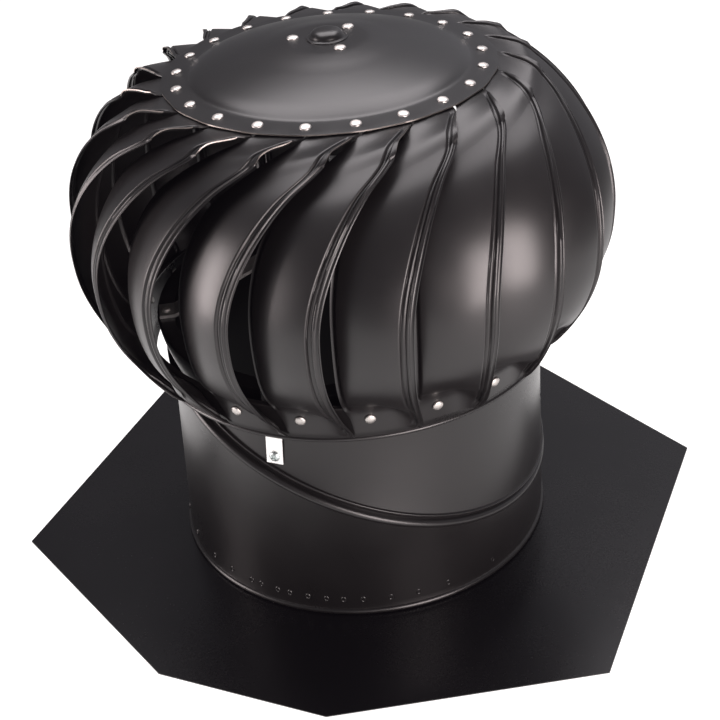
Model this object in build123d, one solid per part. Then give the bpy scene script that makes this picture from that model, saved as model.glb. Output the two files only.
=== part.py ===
from build123d import *
import os
from math import sin, cos, tan, radians, degrees, sqrt, pi, atan2, hypot

# Turbine roof ventilator on an adjustable two-piece neck. Millimetres, +Z up.
# Origin: centre of the underside of the flat flashing, on the spin axis at rest.

# ---------------------------------------------------------------- dimensions
NOMINAL_THROAT = 304.8          # outside diameter of the neck tube (12 inch)
TUBE_R = NOMINAL_THROAT / 2     # 152.4
TUBE_T = 0.9                    # neck sheet
FLASH_T = 0.9                   # flashing sheet
FLASH_APOTHEM = 252.1           # centre to side of the flashing
FLASH_CORNER = 251.1            # centre to the two clipped corners
FLASH_SIDES = [(-144.5, 0), (-114.5, 1), (-84.5, 0), (-24.5, 0),
               (35.5, 0), (65.5, 1), (95.5, 0), (155.5, 0)]
NECK_OUT_R = 150.5             # turned-up neck of the flashing
NECK_H = 19.0
FOOT_BEAD_R = 155.7             # rolled foot bead of the lower elbow
FOOT_TOP = 9.0
CLINCH_Z = 15.4

SEAM_TILT = 24.0                # swivel plane against the horizontal
SEAM_DIR = -13.5                # azimuth of its low side
SEAM_R = 159.3                  # wall radius in the swivel plane
SEAM_SHIFT = 4.8
SEAM_Z = 123.0
BAND_H = 6.2                    # half height of the swivel band
BAND_OUT = 5.6                  # how far it stands out
COLLAR_TOP = 209.0
COLLAR_FLANGE_IN = 139.5

N_VANES = 21
PITCH = 360.0 / N_VANES
TOP_PHASE = -99.558             # azimuth of the first vane's top rivet
RIM_RIVET_R = 112.7
RING_RIVET_R = 165.9
RING_RIVET_Z = 196.5
RING_RIVET_LAG = -38.98         # bottom rivet behind the top rivet, degrees
VANE_T = 0.8

CROWN_T = 0.9
CROWN_R = 122.6
DOME_R = 103.0
CROWN_HUB_R = 34.0
CROWN_TOP = 416.5
CROWN_RIVET_R = 25.0
CROWN_RIVET_PHASE = 50.37

SHAFT_R = 6.35
BEARING_BORE = 6.41
BEARING_OUT = 11.0
HUB_Z0, HUB_Z1 = 246.0, 276.0
ARM_AZ = [-174.0, -54.0, 66.0]
ARM_W = 19.0
ARM_T = 2.5
TAB_AZ = -113.9

os.makedirs("parts", exist_ok=True)


def save(shape, name):
    export_step(shape, "parts/" + name + ".step")


def ring_of(points, smooth=False):
    """Solid of revolution about Z from (r, z) points."""
    f = make_face(Polyline([(p[0], 0, p[1]) for p in points], close=True))
    return revolve(f, Axis.Z, 360)


def polar(r, a, z):
    return Vector(r * cos(radians(a)), r * sin(radians(a)), z)


# ---------------------------------------------------------------- swivel frame
LOW = Vector(cos(radians(SEAM_DIR)), sin(radians(SEAM_DIR)), 0)
NRM = Vector(sin(radians(SEAM_TILT)) * LOW.X, sin(radians(SEAM_TILT)) * LOW.Y, cos(radians(SEAM_TILT)))
INP = Vector(cos(radians(SEAM_TILT)) * LOW.X, cos(radians(SEAM_TILT)) * LOW.Y, -sin(radians(SEAM_TILT)))
SEAM_C = Vector(SEAM_SHIFT * LOW.X, SEAM_SHIFT * LOW.Y, SEAM_Z)


def seam_plane(h):
    return Plane(origin=SEAM_C + NRM * h, x_dir=INP, z_dir=NRM)


def seam_ring(points):
    """Solid of revolution about the swivel axis from (d, h) points."""
    f = make_face(Polyline([(p[0], 0, p[1]) for p in points], close=True))
    return seam_plane(0).location * revolve(f, Axis.Z, 360)


def mid_plane(cx, z, tilt):
    t = radians(tilt)
    n = Vector(sin(t) * LOW.X, sin(t) * LOW.Y, cos(t))
    x = Vector(cos(t) * LOW.X, cos(t) * LOW.Y, -sin(t))
    return Plane(origin=Vector(cx * LOW.X, cx * LOW.Y, z), x_dir=x, z_dir=n)


def flat_plane(z):
    return Plane(origin=Vector(0, 0, z), x_dir=LOW, z_dir=Vector(0, 0, 1))


def elbow_wall(sections):
    """Thin tube through circles (plane, outer radius), sheet on the inside."""
    outer = loft([pl * Circle(r) for pl, r in sections])
    inner = loft([pl * Circle(r - TUBE_T) for pl, r in sections])
    return outer - inner


# ---------------------------------------------------------------- base body
pts = []
n = len(FLASH_SIDES)
for i in range(n):
    a0, k0 = FLASH_SIDES[i]
    a1, k1 = FLASH_SIDES[(i + 1) % n]
    d0 = FLASH_CORNER if k0 else FLASH_APOTHEM
    d1 = FLASH_CORNER if k1 else FLASH_APOTHEM
    c0, s0, c1, s1 = cos(radians(a0)), sin(radians(a0)), cos(radians(a1)), sin(radians(a1))
    det = c0 * s1 - c1 * s0
    pts.append(((d0 * s1 - d1 * s0) / det, (c0 * d1 - c1 * d0) / det))
plate = extrude(make_face(Polyline(pts, close=True)), FLASH_T)
plate -= Cylinder(153.52, 10)
save(plate, "base_flashing")

# turned-up neck of the flashing, a separate ring let into the flat sheet
neck = ring_of([(NECK_OUT_R, NECK_H), (NECK_OUT_R - 0.8, NECK_H), (NECK_OUT_R - 0.8, 2.2),
                (NECK_OUT_R - 0.2, 0.7), (NECK_OUT_R + 1.0, 0.0), (153.5, 0.0), (153.5, FLASH_T),
                (NECK_OUT_R + 0.9, FLASH_T), (NECK_OUT_R + 0.3, 1.3), (NECK_OUT_R, 2.4)])
save(neck, "flashing_neck")

wall = elbow_wall([(flat_plane(FOOT_TOP), TUBE_R), (mid_plane(2.0, 62.0, SEAM_TILT * 0.5), 153.6),
                   (seam_plane(-6.4), SEAM_R)])
bead = []
for i in range(13):
    a = radians(-78 + 154 * i / 12)
    bead.append((151.5 + 4.2 * cos(a), 5.2 + 3.8 * sin(a)))
foot = ring_of([(TUBE_R - TUBE_T, FOOT_TOP), (TUBE_R - TUBE_T, 1.6)] + bead[0:12] + [(TUBE_R, FOOT_TOP)])
lip = []
for i in range(11):
    a = radians(-90 + 18 * i)
    lip.append((SEAM_R - 0.05 + 3.3 * cos(a), 3.0 * sin(a)))
lip = seam_ring([(SEAM_R - TUBE_T, -6.4), (SEAM_R, -6.4), (SEAM_R, -3.0)] + lip[1:-1]
                + [(SEAM_R, 3.0), (SEAM_R, 4.4), (SEAM_R - TUBE_T, 4.4)])
save(wall + foot + lip, "lower_elbow")

# staked clinch buttons that hold the lower elbow to the flashing's neck
CLINCH_AZ = [-129.2, -125.6, -119.7, -115.6, -109.7, -104.0, -98.8, -93.0, -84.9, -76.5, -67.0, -50.3,
             -41.0, -29.5, -16.0, -3.5, 9.0, 21.0, 36.0, 49.5, 64.0, 77.0, 92.5, 104.0, 118.5, 131.0,
             146.0, 158.5, 172.0, -174.5, -160.0, -146.5, -137.5]
stakes = []
for a in CLINCH_AZ:
    p = Plane(origin=polar(TUBE_R - 0.05, a, CLINCH_Z), x_dir=Vector(0, 0, 1), z_dir=polar(1, a, 0))
    stakes.append(p * Pos(0, 0, -0.45) * Cylinder(1.9, 2.1))
save(Compound(children=stakes), "foot_clinches")

# ---------------------------------------------------------------- collar body
wall = elbow_wall([(seam_plane(5.75), SEAM_R), (mid_plane(1.5, 170.5, SEAM_TILT * 0.42), 152.7),
                   (flat_plane(COLLAR_TOP - 1.0), TUBE_R)])
rim = ring_of([(TUBE_R, COLLAR_TOP - 1.0), (TUBE_R - 0.3, COLLAR_TOP - 0.3), (TUBE_R - 1.0, COLLAR_TOP),
               (COLLAR_FLANGE_IN, COLLAR_TOP), (COLLAR_FLANGE_IN, COLLAR_TOP - TUBE_T),
               (TUBE_R - 1.2, COLLAR_TOP - TUBE_T), (TUBE_R - TUBE_T, COLLAR_TOP - 1.0)])
upper = wall + rim
for a in ARM_AZ:
    upper -= Pos(polar(145.0, a, COLLAR_TOP)) * Cylinder(2.05, 10)
save(upper, "upper_elbow")

band = [(SEAM_R + 0.4, -BAND_H)]
for i in range(1, 12):
    a = radians(-90 + 15 * i)
    band.append((SEAM_R + BAND_OUT * cos(a), BAND_H * sin(a)))
band += [(SEAM_R + 0.02, BAND_H), (SEAM_R + 0.02, BAND_H - 0.9)]
for i in range(1, 12):
    a = radians(90 - 15 * i)
    band.append((SEAM_R + (BAND_OUT - 0.9) * cos(a), (BAND_H - 0.9) * sin(a)))
band.append((SEAM_R + 0.4, -(BAND_H - 0.9)))
save(seam_ring(band), "swivel_band")

arm_nodes = []
for i, a in enumerate(ARM_AZ):
    prof = [(150.6, COLLAR_TOP), (150.6, COLLAR_TOP + ARM_T), (138.5, COLLAR_TOP + ARM_T),
            (33.0, 262.0 - 0.0), (15.0, 262.0), (15.0, 262.0 - ARM_T), (32.4, 262.0 - ARM_T),
            (137.8, COLLAR_TOP)]
    f = make_face(Polyline([(p[0], 0, p[1]) for p in prof], close=True))
    arm = extrude(f, ARM_W / 2, dir=(0, 1, 0), both=True)
    arm -= Pos(145.0, 0, COLLAR_TOP) * Cylinder(2.05, 20)
    arm -= Pos(22.0, 0, 262.0) * Cylinder(2.05, 20)
    save(Rot(0, 0, a) * arm, "brace_arm_%d" % (i + 1))

hub = ring_of([(SHAFT_R, HUB_Z0), (14.0, HUB_Z0), (14.0, 262.0), (28.0, 262.0), (28.0, 265.0),
               (14.0, 265.0), (14.0, HUB_Z1), (SHAFT_R, HUB_Z1)])
for a in ARM_AZ:
    hub -= Pos(polar(22.0, a, 263.5)) * Cylinder(2.05, 20)
save(hub, "brace_hub")


def rivet(head_r, head_h, shank_r, grip, tail_r=None, tail_h=1.2):
    """Domed rivet, head seat at z = 0, shank down through the grip."""
    pr = [(0, head_h), (head_r * 0.45, head_h * 0.93), (head_r * 0.78, head_h * 0.66), (head_r, head_h * 0.12),
          (head_r, 0), (shank_r, 0), (shank_r, -grip)]
    if tail_r:
        pr += [(tail_r, -grip), (tail_r * 0.85, -grip - tail_h)]
    else:
        pr += [(shank_r * 0.8, -grip - tail_h)]
    pr += [(0, -grip - tail_h)]
    return ring_of(pr)


riv = []
big = rivet(4.2, 2.2, 2.0, ARM_T + TUBE_T, 3.4)
for a in ARM_AZ:
    riv.append(Pos(polar(145.0, a, COLLAR_TOP + ARM_T)) * big)
hubriv = rivet(4.0, 2.0, 2.0, 3.0 + ARM_T, 3.4)
for a in ARM_AZ:
    riv.append(Pos(polar(22.0, a, 265.0)) * hubriv)
save(Compound(children=riv), "brace_rivets")

save(ring_of([(0, HUB_Z0), (SHAFT_R, HUB_Z0), (SHAFT_R, 412.6), (SHAFT_R - 0.8, 413.4), (0, 413.4)]), "shaft")
save(ring_of([(SHAFT_R, 389.6), (10.0, 389.6), (10.0, 395.6), (SHAFT_R, 395.6)]), "thrust_collar")
save(ring_of([(SHAFT_R, 410.4), (9.6, 410.4), (9.6, 411.6), (SHAFT_R, 411.6)]), "retaining_clip")

# zinc hold-down tab, hooked over the collar's top edge and screwed through the wall
tab_prof = [(156.62, 148.0), (157.82, 148.0), (154.9, 171.0), (154.2, 182.0), (154.0, COLLAR_TOP + 1.5), (144.5, COLLAR_TOP + 1.5),
            (144.5, COLLAR_TOP + 0.3), (152.8, COLLAR_TOP + 0.3), (153.0, 182.0), (153.7, 171.0)]
f = make_face(Polyline([(p[0], 0, p[1]) for p in tab_prof], close=True))
tab = extrude(f, 6.6, dir=(0, 1, 0), both=True)
TAB_SCREW_Z = 154.0
tab_tilt = degrees(atan2(157.82 - 154.9, 23.0))
scr_pl = Plane(origin=Vector(157.07, 0, TAB_SCREW_Z), x_dir=Vector(0, 1, 0),
               z_dir=Vector(cos(radians(tab_tilt)), 0, sin(radians(tab_tilt))))
tab -= scr_pl * Cylinder(1.8, 12)
save(Rot(0, 0, TAB_AZ) * tab, "hold_down_tab")
screw = rivet(4.3, 2.3, 1.75, 5.5, None, 1.5)
screw -= Pos(0, 0, 2.3) * Box(1.0, 4.6, 1.8)
screw -= Pos(0, 0, 2.3) * Box(4.6, 1.0, 1.8)
save(Rot(0, 0, TAB_AZ) * (scr_pl * screw), "tab_screw")

# ---------------------------------------------------------------- turbine head
RING_SLOPE = 0.225


def ring_r(z):
    """Outer face of the conical bottom ring."""
    return 160.6 + RING_SLOPE * (z - 177.4)


ringb = []
for i in range(13):
    a = radians(60 - 270 * i / 12)
    ringb.append((159.3 + 1.7 * cos(a), 174.9 + 1.7 * sin(a)))
ring = ring_of([(ring_r(206.0), 206.0), (ring_r(206) - 4.0, 206.9), (ring_r(206) - 4.0, 206.0),
                (ring_r(205.2) - 1.0, 205.2), (ring_r(178) - 1.0, 178.0)] + ringb[::-1] + [(ring_r(178), 178.0)])
slope_deg = degrees(atan2(RING_SLOPE, 1.0))


def ring_rivet_plane(k, out=0.0):
    a = TOP_PHASE + RING_RIVET_LAG + k * PITCH
    t = radians(slope_deg)
    nr = Vector(cos(t) * cos(radians(a)), cos(t) * sin(radians(a)), -sin(t))
    r = ring_r(RING_RIVET_Z)
    return Plane(origin=polar(r, a, RING_RIVET_Z) + nr * out, x_dir=polar(1, a + 90, 0), z_dir=nr)


for k in range(N_VANES):
    ring -= ring_rivet_plane(k) * Cylinder(1.7, 8)
save(ring, "bottom_ring")


def rim_z(r):
    """Top face of the crown's flat rim."""
    return 394.3 + (CROWN_R - r) * 0.16


def rim_rivet_plane(k):
    a = TOP_PHASE + k * PITCH
    t = atan2(0.16, 1.0)
    nr = Vector(sin(t) * cos(radians(a)), sin(t) * sin(radians(a)), cos(t))
    return Plane(origin=polar(RIM_RIVET_R, a, rim_z(RIM_RIVET_R)) + nr * 0.02, x_dir=polar(1, a + 90, 0), z_dir=nr)


dome = [(CROWN_R, rim_z(CROWN_R) - CROWN_T * 0.5), (CROWN_R, rim_z(CROWN_R)), (DOME_R, rim_z(DOME_R)),
        (100.0, 399.0), (96.0, 400.9), (88.0, 403.6), (76.0, 406.8), (62.0, 410.0), (50.0, 412.4), (41.0, 413.9),
        (38.0, 414.4), (36.0, 415.6), (CROWN_HUB_R, CROWN_TOP), (8.5, CROWN_TOP)]
under = [(r - 0.12, z - CROWN_T) for r, z in dome[2:-1]]
crown = ring_of(dome + [(8.5, CROWN_TOP - CROWN_T)] + under[::-1] + [(CROWN_R, rim_z(CROWN_R) - CROWN_T)])
for k in range(N_VANES):
    crown -= rim_rivet_plane(k) * Cylinder(1.75, 8)
for k in range(3):
    crown -= Pos(polar(CROWN_RIVET_R, CROWN_RIVET_PHASE + 120 * k, CROWN_TOP)) * Cylinder(2.05, 8)
save(crown, "crown_plate")

save(ring_of([(0, 423.6), (5.0, 423.1), (9.4, 421.6), (12.2, 419.4), (13.0, 418.0), (14.8, 417.6), (15.4, 416.9), (15.2, CROWN_TOP),
              (12.2, CROWN_TOP), (11.4, 418.4), (8.8, 420.6), (4.8, 422.1), (0, 422.6)]), "crown_cap")

save(Compound(children=[Pos(polar(CROWN_RIVET_R, CROWN_RIVET_PHASE + 120 * k, CROWN_TOP)) * rivet(4.4, 2.0, 2.0, 3.4, 3.4)
                        for k in range(3)]), "crown_rivets")

fl = ring_of([(BEARING_OUT, 413.1), (BEARING_OUT, CROWN_TOP - CROWN_T), (32.0, CROWN_TOP - CROWN_T), (32.0, 413.1),
              (15.0, 413.1), (13.2, 411.0), (13.2, 330.0), (BEARING_OUT, 330.0)])
for k in range(3):
    fl -= Pos(polar(CROWN_RIVET_R, CROWN_RIVET_PHASE + 120 * k, 414)) * Cylinder(2.05, 12)
save(fl, "bearing_housing")
save(ring_of([(BEARING_BORE, 396.0), (BEARING_OUT, 396.0), (BEARING_OUT, 410.0), (BEARING_BORE, 410.0)]), "upper_bearing")
save(ring_of([(BEARING_BORE, 332.0), (BEARING_OUT, 332.0), (BEARING_OUT, 346.0), (BEARING_BORE, 346.0)]), "lower_bearing")

# ---- vane: rows from the top flange to the foot, (r, azimuth, z) of the inner and outer side
FLANGE_GAP = 0.95               # ring face to the middle of the flange sheet


def under_rim(r):
    return rim_z(r) - CROWN_T - 0.35 - VANE_T / 2


ROWS = [
    # inner side                      outer side                     bulge
    ((105.0, -12.6, under_rim(105)), (105.0, 1.2, under_rim(105)), 0.0),
    ((110.0, -13.3, under_rim(110)), (110.0, 1.1, under_rim(110)), 0.0),
    ((114.0, -14.0, under_rim(114)), (114.0, 0.9, under_rim(114)), 0.0),
    ((118.4, -14.8, under_rim(118.4)), (118.6, 0.6, under_rim(118.6)), 0.0),
    ((122.4, -15.9, under_rim(122.4) - 0.45), (122.9, 0.0, under_rim(122.9) - 0.05), 0.0),
    ((126.4, -18.4, 390.5), (127.8, -1.6, 393.0), 0.3),
    ((131.0, -21.8, 387.4), (133.4, -3.8, 393.5), 0.6),
    ((141.5, -28.4, 379.8), (144.0, -7.9, 393.2), 1.2),
    ((151.5, -34.6, 369.2), (153.3, -10.45, 387.1), 1.8),
    ((162.0, -39.8, 355.8), (171.7, -18.6, 371.6), 2.4),
    ((171.5, -43.2, 339.5), (186.2, -23.57, 354.3), 2.8),
    ((179.2, -44.8, 321.0), (199.0, -27.3, 331.8), 3.0),
    ((184.2, -45.7, 301.0), (206.0, -29.5, 310.2), 3.0),
    ((186.6, -46.0, 281.0), (208.8, -30.5, 288.2), 3.0),
    ((186.0, -46.1, 262.0), (207.8, -30.6, 265.4), 3.0),
    ((183.9, -46.1, 243.0), (201.4, -30.2, 240.0), 2.8),
    ((180.5, -45.9, 227.0), (193.0, -29.3, 221.0), 2.2),
    ((175.8, -45.6, 217.0), (184.7, -28.2, 206.0), 1.2),
    ((171.4, -45.4, 210.8), (179.8, -27.55, 198.0), 0.6),
    ((169.0, -45.0, 206.4), (174.4, -26.9, 190.2), 0.2),
    ((ring_r(202.4) + FLANGE_GAP + 0.35, -44.6, 202.4), (171.5, -26.6, 186.2), 0.0),
    ((ring_r(198) + FLANGE_GAP + 0.1, -44.0, 198.0), (168.8, -26.4, 183.2), 0.0),
    ((ring_r(191) + FLANGE_GAP, -43.4, 191.0), (165.8, -26.2, 180.4), 0.0),
    ((ring_r(183.4) + FLANGE_GAP, -43.0, 183.4), (ring_r(177.8) + 1.5, -26.07, 177.8), 0.0),
]
# share of the width, from the inner side, over which the last rows stay level and on the ring
LEVEL = {17: 0.40, 18: 0.50, 19: 0.56, 20: 0.58, 21: 0.58, 22: 0.58, 23: 0.58}
NC = 15


def slopes(t, y):
    """End-safe slopes that keep a cubic through (t, y) from overshooting between points."""
    n = len(t)
    h = [t[i + 1] - t[i] for i in range(n - 1)]
    d = [(y[i + 1] - y[i]) / h[i] for i in range(n - 1)]
    m = [d[0]] + [0.0] * (n - 2) + [d[-1]]
    for i in range(1, n - 1):
        if d[i - 1] * d[i] > 0:
            w1, w2 = 2 * h[i] + h[i - 1], h[i] + 2 * h[i - 1]
            m[i] = (w1 + w2) / (w1 / d[i - 1] + w2 / d[i])
    return m


def between(t, y, m, x):
    i = max(0, min(len(t) - 2, sum(1 for v in t[1:-1] if v <= x)))
    h = t[i + 1] - t[i]
    q = (x - t[i]) / h
    return ((1 + 2 * q) * (1 - q) ** 2 * y[i] + q * (1 - q) ** 2 * h * m[i]
            + q * q * (3 - 2 * q) * y[i + 1] + q * q * (q - 1) * h * m[i + 1])


def vane_grid():
    rows = []
    for ri, (pi_, po, b) in enumerate(ROWS):
        row = []
        for j in range(NC):
            w = j / (NC - 1)
            r = pi_[0] + (po[0] - pi_[0]) * w
            a = pi_[1] + (po[1] - pi_[1]) * w
            z = pi_[2] + (po[2] - pi_[2]) * w
            if ri in LEVEL:
                k = min(1.0, max(0.0, (w - LEVEL[ri]) / (1 - LEVEL[ri])))
                k = k * k * (1.6 - 0.6 * k)
                z = pi_[2] + (po[2] - pi_[2]) * k
                if ri >= 20:
                    # the flange lies on the conical ring over most of the width
                    out = pi_[0] - ring_r(pi_[2])
                    r = (ring_r(z) + out) * (1 - k) + po[0] * k + 0.8 * sin(pi * k)
                elif ri >= 18:
                    r = pi_[0] * (1 - k) + po[0] * k
            row.append((r + b * 4 * w * (1 - w), a, z))
        rows.append(row)
    # chord lengths at the middle of the width set the spacing of the rows
    mid = NC // 2
    t = [0.0]
    for i in range(1, len(rows)):
        p, q = polar(*rows[i - 1][mid]), polar(*rows[i][mid])
        t.append(t[-1] + (p - q).length)
    steps = []
    for i in range(len(t) - 1):
        steps += [t[i], 0.5 * (t[i] + t[i + 1])]
    steps.append(t[-1])
    cols = []
    for j in range(NC):
        ys = [[row[j][c] for row in rows] for c in range(3)]
        ms = [slopes(t, y) for y in ys]
        cols.append([polar(*[between(t, ys[c], ms[c], x) for c in range(3)]) for x in steps])
    return [[cols[j][i] for j in range(NC)] for i in range(len(steps))]


def offset_grid(g, d):
    out = []
    nr, ncol = len(g), len(g[0])
    for i in range(nr):
        row = []
        for j in range(ncol):
            du = g[min(i + 1, nr - 1)][j] - g[max(i - 1, 0)][j]
            dv = g[i][min(j + 1, ncol - 1)] - g[i][max(j - 1, 0)]
            nn = dv.cross(du).normalized()
            row.append(g[i][j] + nn * d)
        out.append(row)
    return out


def vane_solid():
    g = vane_grid()
    a = Face.make_surface_from_array_of_points(offset_grid(g, VANE_T / 2), tol=0.02)
    b = Face.make_surface_from_array_of_points(offset_grid(g, -VANE_T / 2), tol=0.02)
    ea, eb = list(a.edges()), list(b.edges())
    sides = []
    for e in ea:
        m = e.position_at(0.5)
        f = min(eb, key=lambda x: (x.position_at(0.5) - m).length)
        if (e.position_at(0) - f.position_at(0)).length > (e.position_at(0) - f.position_at(1)).length:
            f = f.reversed()
        sides.append(Face.make_surface_from_curves(e, f))
    sh = Shell([a, b] + sides)
    s = Solid(sh)
    return s


vane = vane_solid()
if vane.volume < 0:
    vane = Solid(vane.wrapped.Reversed())
vane = vane - (Rot(0, 0, -TOP_PHASE) * (rim_rivet_plane(0) * Cylinder(1.75, 12)))
p0 = ring_rivet_plane(0)
vane = vane - (Rot(0, 0, -TOP_PHASE) * (p0 * Cylinder(1.7, 10)))
for k in range(N_VANES):
    save(Rot(0, 0, TOP_PHASE + k * PITCH) * vane, "vane_%02d" % (k + 1))



rr = rivet(4.1, 1.9, 1.6, CROWN_T + VANE_T + 0.80, 2.8)
save(Compound(children=[rim_rivet_plane(k) * rr for k in range(N_VANES)]), "rim_rivets")
rb = rivet(4.1, 1.9, 1.6, VANE_T + 1.0 + 1.15, 2.8)
save(Compound(children=[ring_rivet_plane(k, VANE_T + 0.95) * rb for k in range(N_VANES)]), "ring_rivets")
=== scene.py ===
import bpy
import math
import numpy as np
from math import radians, sin, cos, pi
from mathutils import Vector, Matrix


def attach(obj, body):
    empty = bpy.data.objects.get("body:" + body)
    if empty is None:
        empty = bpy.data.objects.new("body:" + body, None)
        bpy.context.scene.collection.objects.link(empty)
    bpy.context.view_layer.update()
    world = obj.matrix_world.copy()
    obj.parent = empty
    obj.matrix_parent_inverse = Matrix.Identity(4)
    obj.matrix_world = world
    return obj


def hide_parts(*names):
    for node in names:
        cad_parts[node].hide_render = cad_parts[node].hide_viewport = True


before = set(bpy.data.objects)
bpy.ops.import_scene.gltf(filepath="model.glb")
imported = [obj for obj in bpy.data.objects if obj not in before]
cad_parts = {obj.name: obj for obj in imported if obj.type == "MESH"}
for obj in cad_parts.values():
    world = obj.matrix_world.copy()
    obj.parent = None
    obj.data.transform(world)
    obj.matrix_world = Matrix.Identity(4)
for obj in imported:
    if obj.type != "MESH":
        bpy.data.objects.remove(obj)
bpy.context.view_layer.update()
MM = 0.001
rng = np.random.RandomState(7)

# ------------------------------------------------------------------ shared sizes (mm), as in the CAD
N = 21
PITCH = 360.0 / N
TOP_PHASE = -99.558
RIM_RIVET_R = 112.7
RING_RIVET_Z = 196.5
RING_RIVET_LAG = -38.98
CROWN_R, DOME_R, CROWN_T, CROWN_TOP, CROWN_HUB_R = 122.6, 103.0, 0.9, 416.5, 34.0
TUBE_R, TUBE_T = 152.4, 0.9
SEAM_TILT, SEAM_DIR, SEAM_R, SEAM_SHIFT, SEAM_Z = 24.0, -13.5, 159.3, 4.8, 123.0
BAND_H, BAND_OUT = 6.2, 5.6
COLLAR_TOP = 209.0
FLANGE_GAP = 0.95
VANE_T = 0.8
SLOPE = 0.225


def ring_r(z):
    return 160.6 + SLOPE * (z - 177.4)


def rim_z(r):
    return 394.3 + (CROWN_R - r) * 0.16


def pol(r, a, z):
    a = np.radians(a)
    return np.stack([r * np.cos(a), r * np.sin(a), z + 0 * r], -1)


# ------------------------------------------------------------------ mesh helpers
def add_mesh(name, verts, faces, smooth=True, sharp=None):
    me = bpy.data.meshes.new(name)
    me.from_pydata([tuple(v) for v in (np.asarray(verts) * MM)], [], [tuple(int(i) for i in f) for f in faces])
    me.validate()
    me.update()
    if smooth:
        me.polygons.foreach_set("use_smooth", [True] * len(me.polygons))
    ob = bpy.data.objects.new(name, me)
    bpy.context.scene.collection.objects.link(ob)
    if smooth and sharp:
        mod = ob.modifiers.new("split", "EDGE_SPLIT")
        mod.split_angle = radians(sharp)
        mod.use_edge_sharp = False
    return ob


def shell(A, B, wrap_u=False, wrap_v=False):
    """Closed thin sheet between two grids A and B (nr, nc, 3). wrap_v closes the columns."""
    nr, nc = A.shape[:2]
    V = np.concatenate([A.reshape(-1, 3), B.reshape(-1, 3)])
    off = nr * nc
    F = []

    def idx(i, j, s):
        return s * off + (i % nr) * nc + (j % nc)
    ni = nr if wrap_u else nr - 1
    nj = nc if wrap_v else nc - 1
    for i in range(ni):
        for j in range(nj):
            F.append((idx(i, j, 0), idx(i + 1, j, 0), idx(i + 1, j + 1, 0), idx(i, j + 1, 0)))
            F.append((idx(i, j, 1), idx(i, j + 1, 1), idx(i + 1, j + 1, 1), idx(i + 1, j, 1)))
    if not wrap_u:
        for j in range(nj):
            F.append((idx(0, j, 0), idx(0, j + 1, 0), idx(0, j + 1, 1), idx(0, j, 1)))
            F.append((idx(nr - 1, j, 0), idx(nr - 1, j, 1), idx(nr - 1, j + 1, 1), idx(nr - 1, j + 1, 0)))
    if not wrap_v:
        for i in range(ni):
            F.append((idx(i, 0, 0), idx(i, 0, 1), idx(i + 1, 0, 1), idx(i + 1, 0, 0)))
            F.append((idx(i, nc - 1, 0), idx(i + 1, nc - 1, 0), idx(i + 1, nc - 1, 1), idx(i, nc - 1, 1)))
    return V, F


def lathe(profile, segs=96, closed=False, origin=None, zdir=None, xdir=None, rad=None):
    """Revolve (r, z) points about an axis. closed joins last to first point. Returns verts, faces."""
    p = np.asarray(profile, float)
    n = len(p)
    th = np.linspace(0, 2 * pi, segs, endpoint=False)
    V = []
    F = []
    start = []
    for i, (r, z) in enumerate(p):
        if r < 1e-6:
            start.append((len(V), 1))
            V.append((0, 0, z))
        else:
            start.append((len(V), segs))
            for t in th:
                V.append((r * cos(t), r * sin(t), z))
    m = n if closed else n - 1
    for i in range(m):
        a, na = start[i]
        b, nb = start[(i + 1) % n]
        for k in range(segs):
            k2 = (k + 1) % segs
            if na == 1 and nb == 1:
                continue
            if na == 1:
                F.append((a, b + k2, b + k))
            elif nb == 1:
                F.append((a + k, a + k2, b))
            else:
                F.append((a + k, a + k2, b + k2, b + k))
    V = np.array(V, float)
    if origin is not None:
        z = np.asarray(zdir, float)
        z = z / np.linalg.norm(z)
        x = np.array(xdir if xdir is not None else (1, 0, 0), float)
        x = x - z * (x @ z)
        x /= np.linalg.norm(x)
        y = np.cross(z, x)
        V = np.asarray(origin) + V[:, :1] * x + V[:, 1:2] * y + V[:, 2:3] * z
    return V, F


def join(parts):
    V, F, o = [], [], 0
    for v, f in parts:
        V.append(np.asarray(v, float))
        F += [tuple(i + o for i in q) for q in f]
        o += len(v)
    return np.concatenate(V), F


def cubic(xs, ys, x):
    """Natural cubic spline through (xs, ys)."""
    xs, ys, x = map(lambda q: np.asarray(q, float), (xs, ys, x))
    n = len(xs)
    h = np.diff(xs)
    A = np.zeros((n, n))
    b = np.zeros(n)
    A[0, 0] = A[-1, -1] = 1
    for i in range(1, n - 1):
        A[i, i - 1], A[i, i], A[i, i + 1] = h[i - 1], 2 * (h[i - 1] + h[i]), h[i]
        b[i] = 6 * ((ys[i + 1] - ys[i]) / h[i] - (ys[i] - ys[i - 1]) / h[i - 1])
    m = np.linalg.solve(A, b)
    i = np.clip(np.searchsorted(xs, x) - 1, 0, n - 2)
    t = x - xs[i]
    u = xs[i + 1] - x
    return (m[i] * u ** 3 + m[i + 1] * t ** 3) / (6 * h[i]) + (ys[i] / h[i] - m[i] * h[i] / 6) * u + (ys[i + 1] / h[i] - m[i + 1] * h[i] / 6) * t


# ------------------------------------------------------------------ materials
def new_mat(name):
    m = bpy.data.materials.new(name)
    m.use_nodes = True
    nt = m.node_tree
    bsdf = nt.nodes["Principled BSDF"]
    return m, nt, bsdf


def noise(nt, scale, detail=3.0, rough=0.5, coord=None, dist=0.0):
    n = nt.nodes.new("ShaderNodeTexNoise")
    n.inputs["Scale"].default_value = scale
    n.inputs["Detail"].default_value = detail
    n.inputs["Roughness"].default_value = rough
    n.inputs["Distortion"].default_value = dist
    if coord is not None:
        nt.links.new(coord, n.inputs["Vector"])
    return n


def ramp(nt, src, stops):
    r = nt.nodes.new("ShaderNodeValToRGB")
    el = r.color_ramp.elements
    while len(el) < len(stops):
        el.new(0.5)
    for e, (p, c) in zip(el, stops):
        e.position = p
        e.color = c if len(c) == 4 else (*c, 1)
    nt.links.new(src, r.inputs["Fac"])
    return r


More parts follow.
